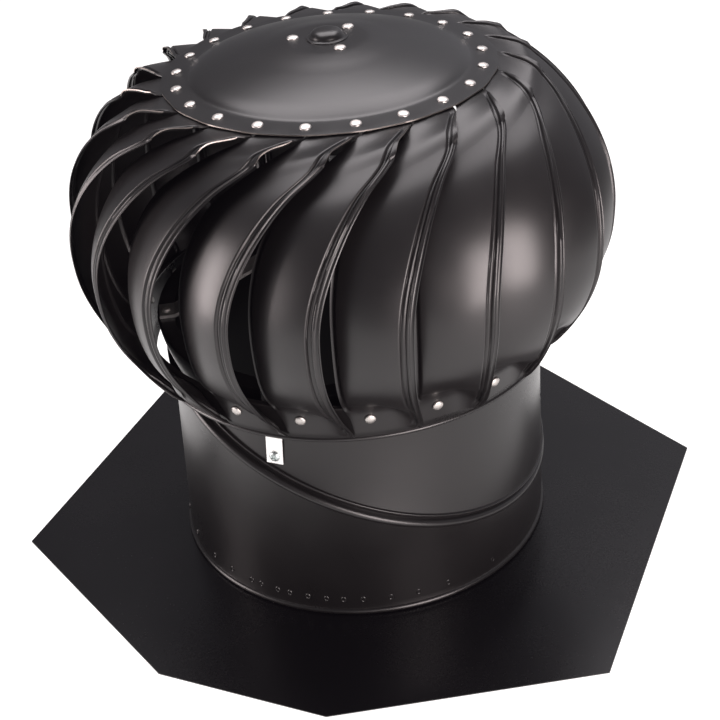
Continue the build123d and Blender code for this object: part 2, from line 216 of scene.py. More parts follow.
def maprange(nt, src, a, b, c, d):
    n = nt.nodes.new("ShaderNodeMapRange")
    n.inputs["From Min"].default_value = a
    n.inputs["From Max"].default_value = b
    n.inputs["To Min"].default_value = c
    n.inputs["To Max"].default_value = d
    nt.links.new(src, n.inputs["Value"])
    return n


def paint(name, base=(0.014, 0.0138, 0.0145), r0=0.26, r1=0.40, peel=0.05, coat=0.0, wear=True, dust=0.0, big=9.0):
    """Baked enamel on sheet steel: cloudy roughness, orange peel, faint rubbed edges."""
    m, nt, b = new_mat(name)
    tc = nt.nodes.new("ShaderNodeTexCoord")
    co = tc.outputs["Object"]
    cloud = noise(nt, big, 4, 0.55, co)
    fine = noise(nt, 420.0, 2, 0.5, co)
    peeln = noise(nt, 1100.0, 2, 0.45, co)
    rough = maprange(nt, cloud.outputs["Fac"], 0.3, 0.7, r0, r1)
    addr = nt.nodes.new("ShaderNodeMath")
    addr.operation = "MULTIPLY_ADD"
    addr.inputs[1].default_value = 0.06
    nt.links.new(fine.outputs["Fac"], addr.inputs[0])
    nt.links.new(rough.outputs["Result"], addr.inputs[2])
    nt.links.new(addr.outputs[0], b.inputs["Roughness"])
    c0 = tuple(x * 0.82 for x in base)
    c1 = tuple(x * 1.25 for x in base)
    col = ramp(nt, cloud.outputs["Fac"], [(0.3, c0), (0.7, c1)])
    last = col.outputs["Color"]
    if wear:
        geo = nt.nodes.new("ShaderNodeNewGeometry")
        pt = maprange(nt, geo.outputs["Pointiness"], 0.53, 0.62, 0.0, 0.55)
        mix = nt.nodes.new("ShaderNodeMix")
        mix.data_type = "RGBA"
        spots = noise(nt, 160.0, 3, 0.6, co)
        mul = nt.nodes.new("ShaderNodeMath")
        mul.operation = "MULTIPLY"
        nt.links.new(pt.outputs["Result"], mul.inputs[0])
        nt.links.new(maprange(nt, spots.outputs["Fac"], 0.35, 0.65, 0.2, 1.0).outputs["Result"], mul.inputs[1])
        nt.links.new(mul.outputs[0], mix.inputs["Factor"])
        nt.links.new(last, mix.inputs["A"])
        mix.inputs["B"].default_value = (0.06, 0.054, 0.052, 1)
        last = mix.outputs["Result"]
    nt.links.new(last, b.inputs["Base Color"])
    bump = nt.nodes.new("ShaderNodeBump")
    bump.inputs["Strength"].default_value = peel
    bump.inputs["Distance"].default_value = 0.0006
    nt.links.new(peeln.outputs["Fac"], bump.inputs["Height"])
    wav = noise(nt, 26.0, 1, 0.4, co)
    bump2 = nt.nodes.new("ShaderNodeBump")
    bump2.inputs["Strength"].default_value = 0.05
    bump2.inputs["Distance"].default_value = 0.0012
    nt.links.new(wav.outputs["Fac"], bump2.inputs["Height"])
    nt.links.new(bump2.outputs["Normal"], bump.inputs["Normal"])
    nt.links.new(bump.outputs["Normal"], b.inputs["Normal"])
    b.inputs["IOR"].default_value = 1.5
    b.inputs["Coat Weight"].default_value = coat
    b.inputs["Coat Roughness"].default_value = 0.15
    return m


def metal(name, base, r0, r1, scale=300.0, bumpd=0.0003, bumps=0.15, aniso=0.0):
    m, nt, b = new_mat(name)
    tc = nt.nodes.new("ShaderNodeTexCoord")
    co = tc.outputs["Object"]
    n1 = noise(nt, scale, 4, 0.6, co)
    n2 = noise(nt, scale * 0.12, 3, 0.5, co)
    nt.links.new(maprange(nt, n1.outputs["Fac"], 0.3, 0.7, r0, r1).outputs["Result"], b.inputs["Roughness"])
    c = ramp(nt, n2.outputs["Fac"], [(0.3, tuple(x * 0.86 for x in base)), (0.7, tuple(min(1, x * 1.06) for x in base))])
    nt.links.new(c.outputs["Color"], b.inputs["Base Color"])
    b.inputs["Metallic"].default_value = 1.0
    bump = nt.nodes.new("ShaderNodeBump")
    bump.inputs["Strength"].default_value = bumps
    bump.inputs["Distance"].default_value = bumpd
    nt.links.new(n1.outputs["Fac"], bump.inputs["Height"])
    nt.links.new(bump.outputs["Normal"], b.inputs["Normal"])
    return m


M_VANE = paint("vane_enamel", base=(0.0062, 0.0054, 0.0056), r0=0.29, r1=0.35, peel=0.010)
M_CROWN = paint("crown_enamel", base=(0.0056, 0.0050, 0.0053), r0=0.25, r1=0.31, peel=0.005)
NECK_IOR = 1.45
M_NECK = paint("neck_enamel", base=(0.0058, 0.0052, 0.0053), r0=0.24, r1=0.32, peel=0.012)
M_RING = paint("ring_enamel", base=(0.0058, 0.0052, 0.0053), r0=0.22, r1=0.30, peel=0.012)
M_FLASH = paint("flashing_enamel", base=(0.0021, 0.0018, 0.0024), r0=0.20, r1=0.27, peel=0.014, big=5.0)
for m_ in (M_NECK,):
    m_.node_tree.nodes["Principled BSDF"].inputs["IOR"].default_value = NECK_IOR
M_RIVET = metal("rivet_aluminium_mat", (0.57, 0.545, 0.52), 0.38, 0.54)
M_SCREW = metal("zinc_screw_mat", (0.50, 0.55, 0.54), 0.30, 0.45, scale=700.0)
M_ZINC = metal("zinc_mat", (0.93, 0.93, 0.92), 0.45, 0.62, scale=500.0)
M_STEEL = metal("ground_steel_mat", (0.60, 0.60, 0.61), 0.24, 0.38, scale=700.0)
M_EDGE = metal("strap_steel_mat", (0.55, 0.54, 0.53), 0.35, 0.5, scale=500.0)
M_CUT = metal("cut_edge_mat", (0.30, 0.275, 0.255), 0.36, 0.50, scale=600.0)
M_BRACE = paint("brace_enamel", base=(0.012, 0.011, 0.011), r0=0.35, r1=0.5, peel=0.06)

SLOT = {}


def piece(ob, mat, body, slot, *nodes):
    ob.data.materials.clear()
    ob.data.materials.append(mat)
    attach(ob, body)
    if nodes:
        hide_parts(*nodes)
    return ob


# ------------------------------------------------------------------ vanes
def under_rim(r):
    return rim_z(r) - CROWN_T - 0.35 - VANE_T / 2


ROWS = [
    ((105.0, -12.6, under_rim(105)), (105.0, 1.2, under_rim(105)), 0.0),
    ((110.0, -13.3, under_rim(110)), (110.0, 1.1, under_rim(110)), 0.0),
    ((114.0, -14.0, under_rim(114)), (114.0, 0.9, under_rim(114)), 0.0),
    ((118.4, -14.8, under_rim(118.4)), (118.6, 0.6, under_rim(118.6)), 0.0),
    ((122.4, -15.9, under_rim(122.4) - 0.45), (122.9, 0.0, under_rim(122.9) - 0.05), 0.0),
    ((126.4, -18.4, 390.5), (127.8, -1.6, 393.0), 0.3),
    ((131.0, -21.8, 387.4), (133.4, -3.8, 393.5), 0.6),
    ((141.5, -28.4, 379.8), (144.0, -7.9, 393.2), 1.2),
    ((151.5, -34.6, 369.2), (153.3, -10.45, 387.1), 1.8),
    ((162.0, -39.8, 355.8), (171.7, -18.6, 371.6), 2.4),
    ((171.5, -43.2, 339.5), (186.2, -23.57, 354.3), 2.8),
    ((179.2, -44.8, 321.0), (199.0, -27.3, 331.8), 3.0),
    ((184.2, -45.7, 301.0), (206.0, -29.5, 310.2), 3.0),
    ((186.6, -46.0, 281.0), (208.8, -30.5, 288.2), 3.0),
    ((186.0, -46.1, 262.0), (207.8, -30.6, 265.4), 3.0),
    ((183.9, -46.1, 243.0), (201.4, -30.2, 240.0), 2.8),
    ((180.5, -45.9, 227.0), (193.0, -29.3, 221.0), 2.2),
    ((175.8, -45.6, 217.0), (184.7, -28.2, 206.0), 1.2),
    ((171.4, -45.4, 210.8), (179.8, -27.55, 198.0), 0.6),
    ((169.0, -45.0, 206.4), (174.4, -26.9, 190.2), 0.2),
    ((ring_r(202.4) + FLANGE_GAP + 0.35, -44.6, 202.4), (171.5, -26.6, 186.2), 0.0),
    ((ring_r(198) + FLANGE_GAP + 0.1, -44.0, 198.0), (168.8, -26.4, 183.2), 0.0),
    ((ring_r(191) + FLANGE_GAP, -43.4, 191.0), (165.8, -26.2, 180.4), 0.0),
    ((ring_r(183.4) + FLANGE_GAP, -43.0, 183.4), (ring_r(177.8) + 1.5, -26.07, 177.8), 0.0),
]
LEVEL = {17: 0.40, 18: 0.50, 19: 0.56, 20: 0.58, 21: 0.58, 22: 0.58, 23: 0.58}
NR = len(ROWS)
# the unhemmed, wavy stretch of the free edge between the rim and the notch
WAVY = np.array([(122.9, 0.0, under_rim(122.9) - 0.05), (127.0, -1.27, 393.2), (130.7, -2.70, 393.9), (134.0, -4.14, 393.7), (137.0, -5.46, 393.7),
                 (139.9, -6.58, 393.8), (143.0, -7.57, 393.7), (146.6, -8.54, 392.8), (150.2, -9.45, 391.3), (152.3, -9.95, 389.6), (153.3, -10.45, 387.1)])


def smooth(x):
    x = np.clip(x, 0, 1)
    return x * x * (3 - 2 * x)


def base_rows(w):
    base = np.zeros((NR, len(w), 3))
    for ri, (pi_, po, b) in enumerate(ROWS):
        for j, ww in enumerate(w):
            r = pi_[0] + (po[0] - pi_[0]) * ww
            a = pi_[1] + (po[1] - pi_[1]) * ww
            z = pi_[2] + (po[2] - pi_[2]) * ww
            if ri in LEVEL:
                k = min(1.0, max(0.0, (ww - LEVEL[ri]) / (1 - LEVEL[ri])))
                k = k * k * (1.6 - 0.6 * k)
                z = pi_[2] + (po[2] - pi_[2]) * k
                if ri >= 20:
                    out = pi_[0] - ring_r(pi_[2])
                    r = (ring_r(z) + out) * (1 - k) + po[0] * k + 0.8 * sin(pi * k)
                elif ri >= 18:
                    r = pi_[0] * (1 - k) + po[0] * k
            base[ri, j] = (r + b * 4 * ww * (1 - ww), a, z)
    return base


def pchip(t, y, x):
    """Cubic through (t, y) down axis 0 that never overshoots its points."""
    h = np.diff(t)
    sh = (-1,) + (1,) * (y.ndim - 1)
    d = np.diff(y, axis=0) / h.reshape(sh)
    m = np.zeros_like(y)
    m[0], m[-1] = d[0], d[-1]
    w1 = (2 * h[1:] + h[:-1]).reshape(sh)
    w2 = (h[1:] + 2 * h[:-1]).reshape(sh)
    same = d[:-1] * d[1:] > 0
    with np.errstate(divide="ignore", invalid="ignore"):
        hm = (w1 + w2) / (w1 / d[:-1] + w2 / d[1:])
    m[1:-1] = np.where(same, hm, 0.0)
    i = np.clip(np.searchsorted(t, x, side="right") - 1, 0, len(t) - 2)
    hh = h[i].reshape(sh)
    q = ((x - t[i]) / h[i]).reshape(sh)
    return ((1 + 2 * q) * (1 - q) ** 2 * y[i] + q * (1 - q) ** 2 * hh * m[i]
            + q * q * (3 - 2 * q) * y[i + 1] + q * q * (q - 1) * hh * m[i + 1])


def vane_mid(w, rows):
    """Mid-surface grid at width positions w (0 inner side .. 1 free edge), rows in row numbers."""
    mid = pol(*[base_rows([0.5])[:, 0, c] for c in range(3)])
    t = np.concatenate([[0], np.cumsum(np.linalg.norm(np.diff(mid, axis=0), axis=1))])
    base = base_rows(w)
    # an even run of samples, softened along the panel, so that no row of points shows
    tf = np.arange(0, t[-1], 1.5)
    fine = pchip(t, base, tf)
    ker = np.exp(-0.5 * (np.arange(-14, 15) * 1.5 / 7.5) ** 2)
    ker /= ker.sum()
    pad = np.concatenate([np.repeat(fine[:1], 14, 0), fine, np.repeat(fine[-1:], 14, 0)])
    soft = np.zeros_like(fine)
    for q, kq in enumerate(ker):
        soft += kq * pad[q:q + len(fine)]
    x = np.interp(rows, np.arange(NR), t)
    a = pchip(t, base, x)
    b = np.stack([[np.interp(x, tf, soft[:, j, c]) for c in range(3)] for j in range(len(w))], 0).transpose(2, 0, 1)
    rows = np.asarray(rows)
    wt = (smooth((rows - 8.6) / 1.2) * smooth((17.2 - rows) / 1.2))[:, None, None]
    out = a * (1 - wt) + b * wt
    return pol(out[..., 0], out[..., 1], out[..., 2])


def grid_normals(G):
    du = np.gradient(G, axis=0)
    dv = np.gradient(G, axis=1)
    n = np.cross(dv, du)
    return n / np.linalg.norm(n, axis=-1, keepdims=True)


STEP_ROW = 8.0
W0 = np.concatenate([np.linspace(0, 0.14, 12), np.linspace(0.17, 0.74, 14), np.linspace(0.755, 1.0, 34)])
R0 = np.concatenate([np.linspace(0, 4, 9)[:-1], np.linspace(4, 7.9, 22), [7.96, 8.0, 8.05, 8.12], np.linspace(8.25, 16, 50)[:-1], np.linspace(16, 20, 17)[:-1], np.linspace(20, 23, 13)])


def rib_profile(d):
    """Pressed double rib beside the free edge, against the distance from the edge, mm."""
    return smooth((d - 4.5) / 1.25) * smooth((10.6 - d) / 1.35) * (1.75 - 0.60 * np.exp(-((d - 7.5) / 0.95) ** 2))


def hem_profile(d):
    return 1.35 * np.sqrt(np.clip(1 - ((d - 1.9) / 2.0) ** 2, 0, 1))


def inner_profile(d):
    return 1.3 * np.sin(np.clip(d / 4.6, 0, 1) * pi) ** 0.8 * (d < 4.6)


def vane_mesh(k, seed):
    G = vane_mid(W0, R0)
    seg = np.linalg.norm(np.diff(G, axis=1), axis=-1)
    cum = np.concatenate([np.zeros((len(R0), 1)), np.cumsum(seg, axis=1)], 1)
    d_out = cum[:, -1:] - cum
    d_in = cum
    # pull the free edge onto the wavy line between the rim and the notch
    Wp = pol(WAVY[:, 0], WAVY[:, 1], WAVY[:, 2])
    wl = np.concatenate([[0], np.cumsum(np.linalg.norm(np.diff(Wp, axis=0), axis=1))])
    sel = (R0 >= 4.0) & (R0 <= 8.0)
    edge = G[sel, -1]
    el_ = np.concatenate([[0], np.cumsum(np.linalg.norm(np.diff(edge, axis=0), axis=1))])
    tgt = np.stack([np.interp(el_ / el_[-1] * wl[-1], wl, Wp[:, c]) for c in range(3)], -1)
    D = (tgt - edge)
    G[sel] += D[:, None, :] * np.clip(1 - d_out[sel] / 16.0, 0, 1)[..., None] ** 2
    nrm = grid_normals(G)
    R = R0[:, None]
    f_hem = smooth((R - 7.97) / 0.10) * smooth((23.4 - R) / 1.0)
    f_rib = smooth((R - 4.3) / 1.6) * smooth((22.6 - R) / 2.4)
    d_rib = d_out + 4.2 * (1 - smooth((R - 4.4) / 4.0))
    f_in = smooth((R - 9.0) / 1.5) * smooth((19.5 - R) / 1.2)
    H = hem_profile(d_out) * f_hem + rib_profile(d_rib) * f_rib + inner_profile(d_in) * f_in
    # the hand-cut edge above the notch ripples a little
    rs = np.random.RandomState(seed)
    rip = smooth((R - 4.3) / 0.8) * smooth((8.0 - R) / 0.3) * np.exp(-(d_out / 6.0) ** 2)
    H = H + rip * (0.22 * np.sin(R * 3.6 + rs.uniform(0, 6.3)) + 0.12 * np.sin(R * 6.3 + rs.uniform(0, 6.3)))
    # slow unevenness of hand-pressed sheet
    x = np.linspace(0, 1, len(R0))[:, None]
    y = np.linspace(0, 1, len(W0))[None]
    wob = 0.0
    for q in range(4):
        wob = wob + rs.uniform(-0.10, 0.10) * np.sin(2 * pi * (rs.uniform(0.6, 2.2) * x + rs.uniform(-0.7, 0.7) * y) + rs.uniform(0, 6.3))
    wob = wob * smooth((x - 0.3) / 0.1) * smooth((0.85 - x) / 0.15)
    P = G + nrm * (H + wob)[..., None]
    n2 = grid_normals(P)
    A = P + n2 * (VANE_T / 2)
    B = P - n2 * (VANE_T / 2)
    V, F = shell(A, B)
    ni, nj = len(R0) - 1, len(W0) - 1
    m0 = 2 * ni * nj + 2 * nj
    bright = [m0 + 2 * i + 1 for i in range(ni) if 5.4 <= R0[i] < 8.0]
    bright += list(range(2 * ni * nj + 1, m0, 2))
    a = radians(TOP_PHASE + k * PITCH)
    ca, sa = cos(a), sin(a)
    Rm = np.array([[ca, -sa, 0], [sa, ca, 0], [0, 0, 1]])
    return V @ Rm.T, F, bright


for k in range(N):
    V, F, bright = vane_mesh(k, 100 + k)
    ob = add_mesh("vane_sheet_%02d" % (k + 1), V, F, sharp=50)
    piece(ob, M_VANE, "turbine_head", "black_paint", "vane_%02d" % (k + 1))
    ob.data.materials.append(M_CUT)
    for i in bright:
        ob.data.polygons[i].material_index = 1

# ------------------------------------------------------------------ crown: dome in a flat rim, edge wavy over the vanes
RIM_EASE = 0.060


def rim_v(r):
    """Visible rim: eased a little about the rivet circle."""
    return rim_z(r) + (r - RIM_RIVET_R) * RIM_EASE


prof = [(8.5, CROWN_TOP), (20.0, CROWN_TOP + 0.05), (28.0, CROWN_TOP), (30.5, 416.3), (33.5, 415.85), (37.0, 415.2), (41.0, 414.4), (45.5, 413.45), (50.0, 412.4),
        (56, 411.25), (62.0, 410.0), (69, 408.45), (76.0, 406.8), (82, 405.25), (88.0, 403.6), (92, 402.4), (96.0, 400.9), (99.0, 399.5), (101, 398.4),
        (102.2, 397.62), (103.6, rim_v(103.6) + 0.1), (106, rim_v(106)), (110, rim_v(110)), (114, rim_v(114)), (118, rim_v(118)), (121.4, rim_v(121.4)), (122.6, rim_v(122.6) - 0.08)]
prof = np.array(prof)
segs = 21 * 16
th = np.linspace(0, 2 * pi, segs, endpoint=False)
A = np.zeros((len(prof), segs, 3))
for i, (r, z) in enumerate(prof):
    f = smooth((r - 112.0) / 10.0)
    ph = np.degrees(th) - TOP_PHASE
    wave = np.cos(np.radians(ph * N - 20.0))
    rr = r + f * 0.45 * wave
    zz = z + f * (0.10 + 0.12 * wave)
    A[i] = np.stack([rr * np.cos(th), rr * np.sin(th), zz], -1)
B = A.copy()
B[..., 2] -= CROWN_T
V, F = shell(A[::-1], B[::-1], wrap_v=True)
ob = add_mesh("crown_sheet", V, F, sharp=55)
piece(ob, M_CROWN, "turbine_head", "black_paint", "crown_plate")
ob.data.materials.append(M_CUT)
n_main = 2 * (len(prof) - 1) * segs
for i in range(n_main, n_main + 2 * segs, 2):
    ob.data.polygons[i].material_index = 1

# cap over the shaft end, with a small beaded foot
cp = [(0, 423.6), (4.0, 423.5), (7.5, 423.0), (10.0, 421.9), (11.6, 420.3), (12.3, 418.6), (12.6, 417.6), (13.1, 417.3), (14.0, 417.6), (14.9, 417.35), (15.3, 416.8), (15.2, CROWN_TOP + 0.02), (0, CROWN_TOP + 0.02)]
V, F = lathe(cp, 72)
ob = add_mesh("shaft_cap", V, F, sharp=60)
piece(ob, M_CROWN, "turbine_head", "black_paint", "crown_cap")


# ------------------------------------------------------------------ rivets
def rivet_prof(head_r, head_h, shank_r, grip, tail_r, tail_h=1.2):
    p = [(0, head_h)]
    for i in range(1, 9):
        a = radians(90 * i / 8)
        p.append((head_r * sin(a) ** 0.95, head_h * (0.10 + 0.90 * cos(a) ** 0.9)))
    p += [(head_r, 0.0), (shank_r, 0.0), (shank_r, -grip), (tail_r, -grip), (tail_r * 0.8, -grip - tail_h), (0, -grip - tail_h)]
    return p


def rivets(name, frames, prof, mat, body, slot, *nodes, segs=28):
    parts = []
    for o, z, x in frames:
        V, F = lathe(prof, segs, origin=o, zdir=z, xdir=x)
        parts.append((V, F))
    V, F = join(parts)
    ob = add_mesh(name, V, F, sharp=50)
    return piece(ob, mat, body, slot, *nodes)


tt = math.atan2(0.16, 1.0)
fr = []
for k in range(N):
    a = radians(TOP_PHASE + k * PITCH)
    nr = np.array([sin(tt) * cos(a), sin(tt) * sin(a), cos(tt)])
    wave = math.cos(radians(0 * N - 20.0))
    o = np.array([RIM_RIVET_R * cos(a), RIM_RIVET_R * sin(a), rim_z(RIM_RIVET_R)]) + nr * 0.05
    fr.append((o, nr, (-sin(a), cos(a), 0)))
rivets("rim_rivet_heads", fr, rivet_prof(4.1, 1.9, 1.6, 2.5, 2.8), M_RIVET, "turbine_head", "rivet_aluminium", "rim_rivets")

st = math.atan2(SLOPE, 1.0)
fr = []
for k in range(N):
    a = radians(TOP_PHASE + RING_RIVET_LAG + k * PITCH)
    nr = np.array([cos(st) * cos(a), cos(st) * sin(a), -sin(st)])
    o = np.array([ring_r(RING_RIVET_Z) * cos(a), ring_r(RING_RIVET_Z) * sin(a), RING_RIVET_Z]) + nr * (VANE_T + 0.95)
    fr.append((o, nr, (-sin(a), cos(a), 0)))
rivets("ring_rivet_heads", fr, rivet_prof(4.1, 1.9, 1.6, 2.95, 2.8), M_RIVET, "turbine_head", "rivet_aluminium", "ring_rivets")

fr = []
for k in range(3):
    a = radians(50.37 + 120 * k)
    fr.append((np.array([25 * cos(a), 25 * sin(a), CROWN_TOP]), (0, 0, 1), (-sin(a), cos(a), 0)))
rivets("crown_rivet_heads", fr, rivet_prof(4.4, 2.0, 2.0, 3.4, 3.4), M_RIVET, "turbine_head", "rivet_aluminium", "crown_rivets")

# ------------------------------------------------------------------ bottom ring with rolled bead
p = [(ring_r(206.0) - 4.0, 206.9), (ring_r(206.0) - 1.5, 206.7), (ring_r(206.0) - 0.3, 206.4), (ring_r(205.6), 205.6)]
for z in np.linspace(203, 179.5, 9):
    p.append((ring_r(z), z))
for i in range(15):
    a = radians(62 - 272 * i / 14)
    p.append((159.3 + 1.75 * cos(a), 174.9 + 1.75 * sin(a)))
for z in np.linspace(179.5, 203, 9):
    p.append((ring_r(z) - 1.0, z))
p += [(ring_r(205.0) - 1.0, 205.0), (ring_r(206.0) - 4.0, 206.0)]
V, F = lathe(p[::-1], 336, closed=True)
ob = add_mesh("ring_sheet", V, F, sharp=45)
piece(ob, M_RING, "turbine_head", "black_paint", "bottom_ring")

# ------------------------------------------------------------------ neck: two elbows and the swivel band
LOW = np.array([cos(radians(SEAM_DIR)), sin(radians(SEAM_DIR)), 0])
SIDE = np.array([-LOW[1], LOW[0], 0])
C0 = LOW * SEAM_SHIFT + np.array([0, 0, SEAM_Z])


def tilted(t):
    t = radians(t)
    return LOW * cos(t) - np.array([0, 0, 1]) * sin(t), LOW * sin(t) + np.array([0, 0, 1]) * cos(t)


INP, NRM = tilted(SEAM_TILT)


def circle(c, tilt, r, th):
    x, n = tilted(tilt)
    return c + r * (np.cos(th)[:, None] * x + np.sin(th)[:, None] * SIDE)


def loft3(c0, c1, c2, th, n):
    """Quadratic through three circles, by chord length."""
    P0, P1, P2 = circle(*c0, th), circle(*c1, th), circle(*c2, th)
    d1 = np.linalg.norm(P1 - P0, axis=1).mean()
    d2 = np.linalg.norm(P2 - P1, axis=1).mean()
    m = d1 / (d1 + d2)
    u = np.linspace(0, 1, n)[:, None, None]
    return P0 * (u - m) * (u - 1) / (m) + P1 * u * (u - 1) / (m * (m - 1)) + P2 * u * (u - m) / (1 - m)


SEG = 360
TH = np.linspace(0, 2 * pi, SEG, endpoint=False)


def seam_pt(d, h):
    return C0 + NRM * h + d * (np.cos(TH)[:, None] * INP + np.sin(TH)[:, None] * SIDE)


def flat(r, z):
    return circle(np.array([0, 0, z]), 0.0, r, TH)


CLINCH = [-129.2, -125.6, -119.7, -115.6, -109.7, -104.0, -98.8, -93.0, -84.9, -76.5, -67.0, -50.3,
          -41.0, -29.5, -16.0, -3.5, 9.0, 21.0, 36.0, 49.5, 64.0, 77.0, 92.5, 104.0, 118.5, 131.0,
          146.0, 158.5, 172.0, -174.5, -160.0, -146.5, -137.5]

lowc = (np.array([0, 0, 9.0]), 0.0, TUBE_R)
midc = (LOW * 2.0 + np.array([0, 0, 62.0]), SEAM_TILT * 0.5, 153.6)
topc = (C0 - NRM * 6.4, SEAM_TILT, SEAM_R)
outer = loft3(lowc, midc, topc, TH, 60)
rows = []
for i in range(9):
    a = radians(-88 + (76 + 88) * i / 8)
    rows.append(flat(152.0 + 2.75 * cos(a), 3.6 + 2.5 * sin(a)))
rows += [outer[i] for i in range(60)]
for d, h in [(SEAM_R, -5.4), (SEAM_R + 0.3, -4.7), (SEAM_R + 1.5, -4.3), (SEAM_R + 2.3, -3.4), (SEAM_R + 2.4, -2.2), (SEAM_R + 2.0, -1.1), (SEAM_R + 0.9, -0.6), (SEAM_R, -0.3), (SEAM_R, 1.0)]:
    rows.append(seam_pt(d, h))
A = np.stack(rows)


def inward(A, t):
    n = grid_normals(np.concatenate([A[:, -1:], A, A[:, :1]], 1))[:, 1:-1]
    cen = A - A.mean(1, keepdims=True)
    s = np.sign((n * cen).sum(-1).mean())
    return A - s * n * t


B = inward(A, TUBE_T)
B[:9] = np.stack([flat(TUBE_R - TUBE_T, z) for z in np.linspace(1.5, 8.6, 9)])
V, F = shell(A, B, wrap_v=True)
ob = add_mesh("lower_elbow_sheet", V, F, sharp=60)
piece(ob, M_NECK, "base", "black_paint", "lower_elbow")

# clinch dents: small oval buttons pressed outwards with a dimpled middle
parts = []
dp = [(0, -0.60), (0.9, -0.48), (1.5, -0.05), (1.95, 0.42), (2.35, 0.44), (2.75, 0.12), (3.05, -0.30)]
for a in CLINCH:
    ar = radians(a)
    o = np.array([152.42 * cos(ar), 152.42 * sin(ar), 15.4])
    v, f = lathe(dp, 20, origin=o, zdir=(cos(ar), sin(ar), 0), xdir=(0, 0, 1))
    v = v - np.outer((v - o) @ np.array([-sin(ar), cos(ar), 0]), np.array([-sin(ar), cos(ar), 0])) * 0.25
    parts.append((v, f))
V, F = join(parts)
ob = add_mesh("foot_dents", V, F, sharp=80)
piece(ob, M_NECK, "base", "black_paint", "foot_clinches")

botc = (C0 + NRM * 5.75, SEAM_TILT, SEAM_R)
midc = (LOW * 1.5 + np.array([0, 0, 170.5]), SEAM_TILT * 0.42, 152.7)
topc = (np.array([0, 0, COLLAR_TOP - 1.0]), 0.0, TUBE_R)
outer = loft3(botc, midc, topc, TH, 60)
rows = [outer[i] for i in range(60)] + [flat(TUBE_R - 0.3, COLLAR_TOP - 0.3), flat(TUBE_R - 1.0, COLLAR_TOP)]
rows += [flat(r, COLLAR_TOP) for r in (149.0, 145.0, 141.0, 139.5)]
A = np.stack(rows)
B = inward(A, TUBE_T)
B[62:] = A[62:] - np.array([0, 0, TUBE_T])
V, F = shell(A, B, wrap_v=True)
ob = add_mesh("collar_sheet", V, F, sharp=60)
piece(ob, M_NECK, "collar", "black_paint", "upper_elbow")

pr = [(SEAM_R + 0.35, -BAND_H + 0.3)]
for i in range(0, 21):
    a = radians(-96 + 9.6 * i)
    pr.append((SEAM_R + 2.3 + 3.3 * cos(a), -2.2 + 3.3 * sin(a)))
pr += [(SEAM_R + 0.75, 1.15), (SEAM_R + 0.70, 1.7), (SEAM_R + 1.2, 3.4), (SEAM_R + 1.75, 4.6)]
for i in range(0, 8):
    a = radians(-50 + 22 * i)
    pr.append((SEAM_R + 1.25 + 0.75 * cos(a), 5.15 + 0.75 * sin(a)))
pr += [(SEAM_R + 0.06, 5.9), (SEAM_R + 0.06, 5.2), (SEAM_R + 0.15, 3.4), (SEAM_R + 0.15, 1.0)]
for i in range(0, 11):
    a = radians(100 - 19 * i)
    pr.append((SEAM_R + 2.2 + 2.4 * cos(a), -2.2 + 2.4 * sin(a)))
pr.append((SEAM_R + 0.35, -BAND_H + 1.1))
V, F = lathe(pr, 360, closed=True, origin=C0, zdir=NRM, xdir=INP)
ob = add_mesh("swivel_bead", V, F, sharp=50)
piece(ob, M_NECK, "collar", "black_paint", "swivel_band")

# ------------------------------------------------------------------ pale tab and its screw
TAB_AZ = -113.9
ta = radians(TAB_AZ)
er = np.array([cos(ta), sin(ta), 0])
et = np.array([-sin(ta), cos(ta), 0])
path = [(145.4, 210.2), (150.6, 210.2), (152.4, 209.9), (153.35, 208.8), (153.5, 206.0), (153.6, 182.0), (154.3, 171.0), (155.55, 161.2), (156.5, 153.6), (157.22, 148.0)]
path = np.array(path)
W = 6.5
rowsA, rowsB = [], []
for i, (r, z) in enumerate(path):
    q0 = path[max(i - 1, 0)]
    q1 = path[min(i + 1, len(path) - 1)]
    t = q1 - q0
    t = t / np.linalg.norm(t)
    n = np.array([-t[1], t[0]])
    n = n if n[0] + n[1] > 0 else -n
    cols = np.array([-W, -W + 0.35, 0, W - 0.35, W])
    hh = np.array([0.40, 0.55, 0.55, 0.55, 0.40])
    rowsA.append([er * (r + n[0] * h) + np.array([0, 0, z + n[1] * h]) + et * c for c, h in zip(cols, hh)])
    rowsB.append([er * (r - n[0] * h) + np.array([0, 0, z - n[1] * h]) + et * c for c, h in zip(cols, hh)])
V, F = shell(np.array(rowsA), np.array(rowsB))
ob = add_mesh("tab_strip", V, F, sharp=40)
piece(ob, M_ZINC, "collar", "zinc_plate", "hold_down_tab")

tl = math.atan2(157.82 - 154.9, 23.0)
so = er * 157.07 + np.array([0, 0, 154.0])
sn = er * cos(tl) + np.array([0, 0, 1]) * sin(tl)
hd = [(0, 1.5)]
V, F = lathe([(0, 2.2), (1.0, 2.2), (2.2, 2.05), (3.2, 1.6), (3.9, 0.9), (4.25, 0.25), (4.25, 0), (1.75, 0), (1.75, -5.5), (1.2, -7), (0, -7)], 40, origin=so, zdir=sn, xdir=et)
parts = [(V, F)]
ob = add_mesh("tab_screw_head", V, F, sharp=45)
